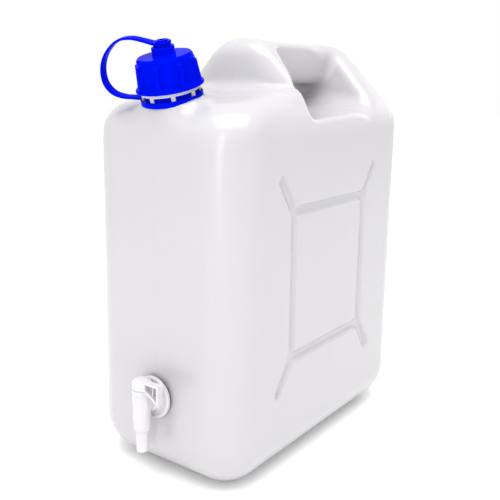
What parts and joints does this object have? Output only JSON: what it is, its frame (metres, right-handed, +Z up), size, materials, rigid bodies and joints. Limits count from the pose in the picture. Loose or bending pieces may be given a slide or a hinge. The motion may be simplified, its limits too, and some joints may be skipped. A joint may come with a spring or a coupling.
{
  "type": "water canister",
  "caption": "Upright blow-moulded canister with a hollow grip, a tilted screw neck with a captive cap and strap, and a small swivel-key dispensing tap near the base.",
  "frame": {"origin": "centre of the flat base that the canister stands on", "axes": "+Z up; -Y towards the tap and the neck; +X to the right when the tap is seen from the front, across the narrow width"},
  "size_m": [0.1492, 0.2866, 0.337],
  "materials": {
    "tank_plastic": "satin natural polyethylene",
    "blue_plastic": "gloss",
    "tap_plastic": "semi-gloss",
    "seal_rubber": "matte",
    "foam_seal": "matte foam"
  },
  "bodies": {
    "canister": {"canister_body": "tank_plastic", "captive_strap": "blue_plastic", "tap_body": "tap_plastic", "tap_outer_washer": "seal_rubber", "tap_inner_washer": "seal_rubber", "tap_nut": "tap_plastic"},
    "seal": {"cap_seal": "foam_seal"},
    "cap": {"screw_cap": "blue_plastic"},
    "plug": {"spout_plug": "blue_plastic"},
    "key": {"tap_key": "tap_plastic", "tap_key_upper_ring": "seal_rubber", "tap_key_lower_ring": "seal_rubber"}
  },
  "joints": [
    {"name": "cap_lift", "type": "slide", "parent": "canister", "child": "seal", "axis": [0, -0.2756, 0.9613], "range_m": [0, 0.008], "deforming": ["captive_strap"]},
    {"name": "cap_turn", "type": "hinge", "parent": "seal", "child": "cap", "pos_m": [0, -0.1125, 0.2922], "axis": [0, -0.2756, 0.9613], "range_deg": [0, 577]},
    {"name": "plug_pull", "type": "slide", "parent": "seal", "child": "plug", "axis": [0, -0.2756, 0.9613], "range_m": [0, 0.012]},
    {"name": "tap_turn", "type": "hinge", "parent": "canister", "child": "key", "pos_m": [0, -0.1475, 0.07], "axis": [0, 0, -1], "range_deg": [0, 90]}
  ],
  "couplings": [
    {"joint": "cap_turn", "follows": "cap_lift", "rad_per_m": 1256.6}
  ]
}
